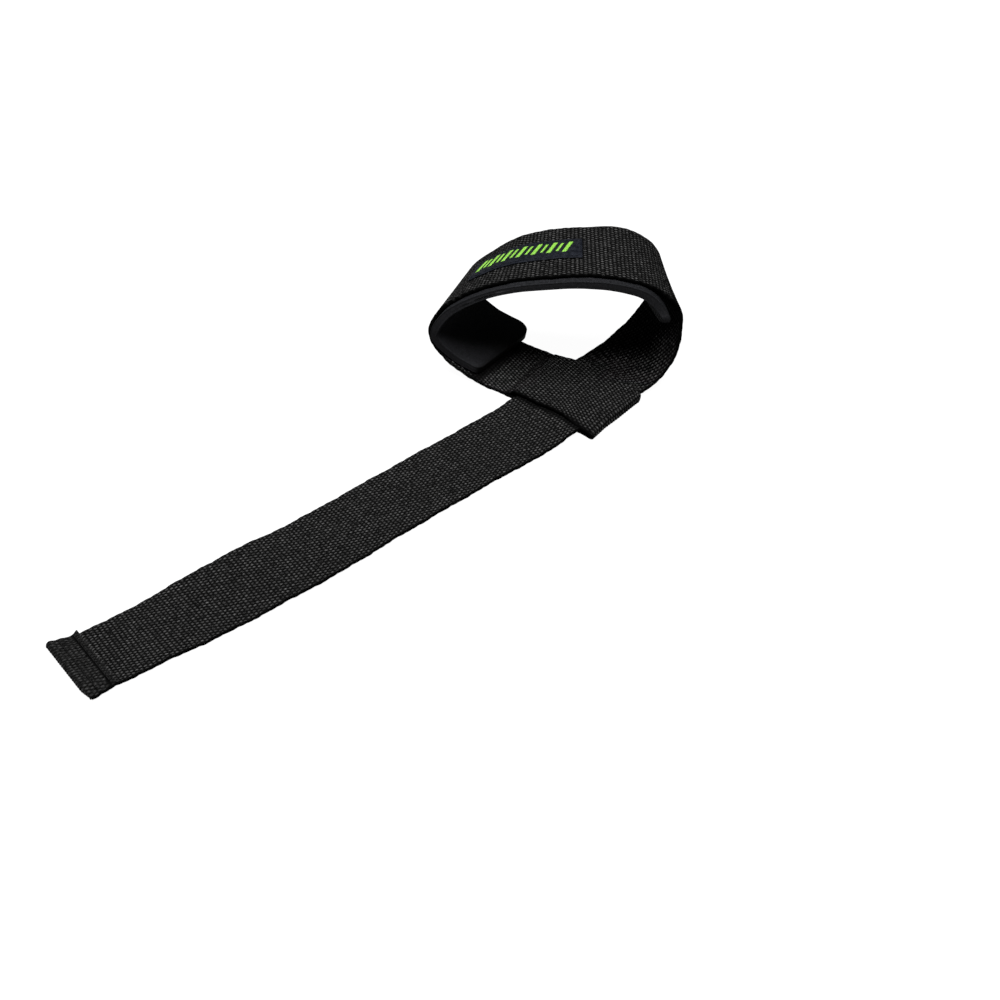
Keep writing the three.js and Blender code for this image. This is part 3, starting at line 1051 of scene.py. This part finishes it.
# Painted highlight: the lighter grey that the web's yarn crowns are painted toward
WEB_CROWN_HIGHLIGHT = grey(0.040, (1.0, 0.995, 0.99))
KNIT_LOW = grey(0.0048, (0.93, 0.95, 1.12))
KNIT_HIGH = grey(0.0095, (0.94, 0.97, 1.12))
KNIT_GAP = grey(0.0012)
KNIT_WORN = grey(0.0016, (0.95, 0.97, 1.1))
FOAM_GAP = grey(0.0035)
FOAM_HIGH = grey(0.0085, (0.97, 0.97, 1.10))
FOAM_WORN = grey(0.0035, (0.97, 0.97, 1.1))
NAVY_GAP = (0.0010, 0.0012, 0.002, 1.0)
NAVY_LOW = (0.0005, 0.0007, 0.0012, 1.0)
NAVY_HIGH = (0.0068, 0.0076, 0.0100, 1.0)
LIME_LOW = (0.024, 0.085, 0.006, 1.0)
LIME_HIGH = (0.078, 0.152, 0.020, 1.0)
BLACK_THREAD = grey(0.002)
NAVY_THREAD = (0.0036, 0.0042, 0.0060, 1.0)
FLOOR_TONES = (grey(0.020), grey(0.022))


def web_material():
    material, tree, shader = new_material("web_cotton", roughness=0.95, specular=0.0)
    fibre_map = cloth_coordinates(tree, ALONG_FIBRES)
    fibres = noise(tree, fibre_map, scale=2.6, detail=4.0, roughness=0.65)
    cell_map = cloth_coordinates(tree, ALONG_YARNS)
    flecks = noise(tree, cell_map, scale=0.75, detail=1.0, roughness=0.5)
    patches = noise(tree, cloth_coordinates(tree, PLAIN), scale=0.06)
    # The yarn crowns are painted toward a lighter grey and the gaps near black, a painted
    # highlight and painted shade. Each yarn's random tone, the flecks and the fibres vary it,
    # the 'shade' attribute adds painted shade and painted light, and pressed yarns lose the
    # painted highlight.
    crown = ramp(tree, attribute(tree, "crown"), 0.37, 0.87)
    crown = math_node(tree, "POWER", crown, 1.25)
    lit = math_node(tree, "MULTIPLY", crown, attribute(tree, "shade"))
    lit = math_node(tree, "MULTIPLY", lit, ramp(tree, flecks, 0.3, 0.62))
    lit = math_node(tree, "MULTIPLY", lit, ramp(tree, fibres, 0.25, 0.6))
    pressed = math_node(tree, "SUBTRACT", 1.0, attribute(tree, "pressed"))
    lit = math_node(tree, "MULTIPLY", lit, pressed)
    # Gaps in painted shade, crowns with a painted highlight
    deep = mixed_colour(tree, patches, *PAINTED_SHADE_BLACKS)
    colour = mixed_colour(tree, lit, deep, WEB_CROWN_HIGHLIGHT)
    tree.links.new(colour, shader.inputs["Base Color"])
    tree.links.new(bump(tree, fibres, strength=0.5, distance=0.0002), shader.inputs["Normal"])
    return material


def thread_material(name, colour):
    material, tree, shader = new_material(name, roughness=0.7, specular=0.03)
    place = add_node(tree, "ShaderNodeTexCoord").outputs["Object"]
    twist = noise(tree, place, scale=2600.0, detail=2.0)
    dark = tuple(c * 0.6 for c in colour[:3]) + (1.0,)
    shade = mixed_colour(tree, twist, dark, colour)
    tree.links.new(shade, shader.inputs["Base Color"])
    tree.links.new(bump(tree, twist, strength=0.4, distance=0.0001), shader.inputs["Normal"])
    return material


def pad_material():
    material, tree, shader = new_material("pad_knit", roughness=0.72, specular=0.02)
    cut = attribute(tree, "cut")
    knit_map = cloth_coordinates(tree, PLAIN)
    knit = bands(
        tree, knit_map, "Y", scale=0.62, distortion=1.2, detail=2.0, detail_scale=2.0)
    fuzz = noise(tree, knit_map, scale=2.4, detail=5.0, roughness=0.7)
    cells = add_node(tree, "ShaderNodeTexVoronoi", {
        "Vector": knit_map, "Scale": 2.2}, feature="DISTANCE_TO_EDGE").outputs[0]
    patches = noise(tree, knit_map, scale=0.09, detail=2.0)
    blotches = noise(tree, knit_map, scale=0.8, detail=4.0, roughness=0.75)
    worn = ramp(tree, blotches, 0.36, 0.62)
    knit_colour = mixed_colour(tree, patches, KNIT_LOW, KNIT_HIGH)
    knit_colour = mixed_colour(tree, ramp(tree, fuzz, 0.36, 0.64), KNIT_GAP, knit_colour)
    knit_colour = mixed_colour(tree, worn, KNIT_WORN, knit_colour)
    foam_colour = mixed_colour(tree, ramp(tree, cells, 0.0, 0.25), FOAM_GAP, FOAM_HIGH)
    foam_colour = mixed_colour(tree, worn, FOAM_WORN, foam_colour)
    colour = mixed_colour(tree, cut, knit_colour, foam_colour)
    colour = mixed_colour(tree, attribute(tree, "shadowed"), colour, PAINTED_SHADE_BLACKS[0])
    tree.links.new(colour, shader.inputs["Base Color"])
    relief = math_node(tree, "ADD", math_node(tree, "MULTIPLY", knit, 0.4), fuzz)
    tree.links.new(bump(tree, relief, strength=0.35, distance=0.0002), shader.inputs["Normal"])
    return material


def label_material():
    material, tree, shader = new_material("label_weave", roughness=0.6, specular=0.02)
    weave_map = cloth_coordinates(tree, PLAIN)
    lines = bands(tree, weave_map, "X", scale=0.9, distortion=0.4)
    cross = bands(tree, weave_map, "Y", scale=0.62, distortion=0.4)
    weave = math_node(tree, "MULTIPLY", lines, cross)
    blotches = noise(tree, weave_map, scale=0.5, detail=4.0, roughness=0.75)
    patches = ramp(tree, blotches, 0.4, 0.6)
    navy = mixed_colour(tree, patches, NAVY_LOW, NAVY_HIGH)
    colour = mixed_colour(tree, ramp(tree, weave, 0.0, 0.6), NAVY_GAP, navy)
    tree.links.new(colour, shader.inputs["Base Color"])
    tree.links.new(bump(tree, weave, strength=0.5, distance=0.00015), shader.inputs["Normal"])
    return material


def bar_material():
    material, tree, shader = new_material("label_lime", roughness=0.6, specular=0.1)
    thread_map = cloth_coordinates(tree, PLAIN)
    threads = bands(tree, thread_map, "X", scale=0.8, distortion=0.6, detail=2.0)
    colour = mixed_colour(tree, threads, LIME_LOW, LIME_HIGH)
    tree.links.new(colour, shader.inputs["Base Color"])
    tree.links.new(bump(tree, threads, strength=0.5, distance=0.00012), shader.inputs["Normal"])
    return material


FLOOR_GLOW = 0.97


def floor_material():
    material, tree, shader = new_material("studio_floor", roughness=0.9, specular=0.0)
    place = add_node(tree, "ShaderNodeTexCoord").outputs["Object"]
    tone = mixed_colour(tree, noise(tree, place, scale=3.0), *FLOOR_TONES)
    tree.links.new(tone, shader.inputs["Base Color"])
    shader.inputs["Emission Color"].default_value = grey(1.0)
    shader.inputs["Emission Strength"].default_value = FLOOR_GLOW
    return material


def finished(piece, material, node):
    piece.data.materials.append(material)
    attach(piece, "root")
    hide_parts(node)
    return piece


# Studio. Camera and lights are placed from the middle of the eye, which the camera's
# angle was worked out from.
CAMERA_PLACE = (-453.75, -477.26, 546.21)
CAMERA_HEADING = math.radians(40.35)  # from +Y towards +X
CAMERA_DROP = math.radians(42.9)  # below level
CAMERA_LENS = 66.6
CAMERA_SENSOR = 36.0
FLOOR_HALF = 60.0  # metres
# name, place in metres to the camera's right, forward and up, side in metres, watts
LIGHTS = [
    ("key", (-0.67, 0.0, 1.67), 0.45, 112.0),
    ("fill", (0.34, -0.56, 1.68), 0.45, 104.0),
    ("top", (0.0, 0.0, 1.9), 2.2, 14.0),
]
WORLD_STRENGTH = 0.15


def camera_object():
    data = bpy.data.cameras.new("camera")
    data.lens = CAMERA_LENS
    data.sensor_width = CAMERA_SENSOR
    camera = bpy.data.objects.new("camera", data)
    bpy.context.scene.collection.objects.link(camera)
    camera.location = (np.array(CAMERA_PLACE) + SHIFT) * MM
    look = Vector((
        math.cos(CAMERA_DROP) * math.sin(CAMERA_HEADING),
        math.cos(CAMERA_DROP) * math.cos(CAMERA_HEADING),
        -math.sin(CAMERA_DROP),
    ))
    camera.rotation_euler = look.to_track_quat("-Z", "Y").to_euler()
    return camera


def floor_object():
    mesh = bpy.data.meshes.new("studio_floor")
    corners = [(-1, -1), (1, -1), (1, 1), (-1, 1)]
    mesh.from_pydata(
        [(x * FLOOR_HALF, y * FLOOR_HALF, 0) for x, y in corners], [], [(0, 1, 2, 3)])
    mesh.materials.append(floor_material())
    floor = bpy.data.objects.new("studio_floor", mesh)
    bpy.context.scene.collection.objects.link(floor)
    return floor


def light_object(name, place, side, power):
    right = Vector((math.cos(CAMERA_HEADING), -math.sin(CAMERA_HEADING), 0))
    forward = Vector((math.sin(CAMERA_HEADING), math.cos(CAMERA_HEADING), 0))
    place = right * place[0] + forward * place[1] + Vector((0, 0, place[2]))
    data = bpy.data.lights.new(name, "AREA")
    data.shape = "SQUARE"
    data.size = side
    data.energy = power
    light = bpy.data.objects.new(name, data)
    light.location = place + Vector(SHIFT * MM)
    light.rotation_euler = (-place).to_track_quat("-Z", "Y").to_euler()
    bpy.context.scene.collection.objects.link(light)


def studio():
    scene = bpy.context.scene
    scene.camera = camera_object()
    floor_object()
    for light in LIGHTS:
        light_object(*light)
    world = bpy.data.worlds.new("studio")
    world.use_nodes = True
    background = world.node_tree.nodes["Background"]
    background.inputs["Color"].default_value = grey(1.0)
    background.inputs["Strength"].default_value = WORLD_STRENGTH
    scene.world = world
    scene.view_settings.view_transform = "Standard"


studio()


# The web is made in three stretches, joined inside the eye where nothing shows.
# Edges that get a painted shadow on the cloth beside them
PAINTED_SHADOW_EDGES = shadow_casting_edges()
cotton = web_material()
black_thread = thread_material("black_thread", BLACK_THREAD)
navy_thread = thread_material("navy_thread", NAVY_THREAD)
INSIDE_EYE = int(row_number(RUN_START + TAIL_LENGTH))
UNDER_EYE = int(row_number(RUN_END - HALF_WEB))
LAST_ROW = len(WEB_AT) - 1
# name, first and last row, columns to each yarn on the upper and the lower face
stretches = [
    ("web_tail", 0, INSIDE_EYE, 2, 1),
    ("web_loop", INSIDE_EYE, UNDER_EYE, 1, 2),
    ("web_eye", UNDER_EYE, LAST_ROW, 2, 2),
]
for name, first, last, upper_steps, lower_steps in stretches:
    stretch = web_piece(name, first, last, upper_steps, lower_steps)
    finished(stretch, cotton, "strap_webbing")

HEM_ROWS = (2.2, 8.2)
EYE_ROW_AT = WEB_LENGTH - SEAM_LENGTH / 2
EYE_ROW_PITCH = 5.5
hem_runs = [run for at in HEM_ROWS for run in row_across(at, inset=2.0)]
eye_runs = row_across(EYE_ROW_AT, inset=3.0, sunk=1.5)
eye_runs += row_across(EYE_ROW_AT - EYE_ROW_PITCH, inset=2.0, sunk=0.3)
finished(stitches("hem_sewing", hem_runs), black_thread, "strap_webbing")
finished(stitches("eye_sewing", eye_runs), black_thread, "strap_webbing")

pad = finished(pad_piece(), pad_material(), "wrist_pad")

label = finished(label_piece(), label_material(), "label_patch")
finished(label_bars(), bar_material(), "label_patch")
finished(label_sewing(), navy_thread, "label_patch")

bpy.context.view_layer.update()
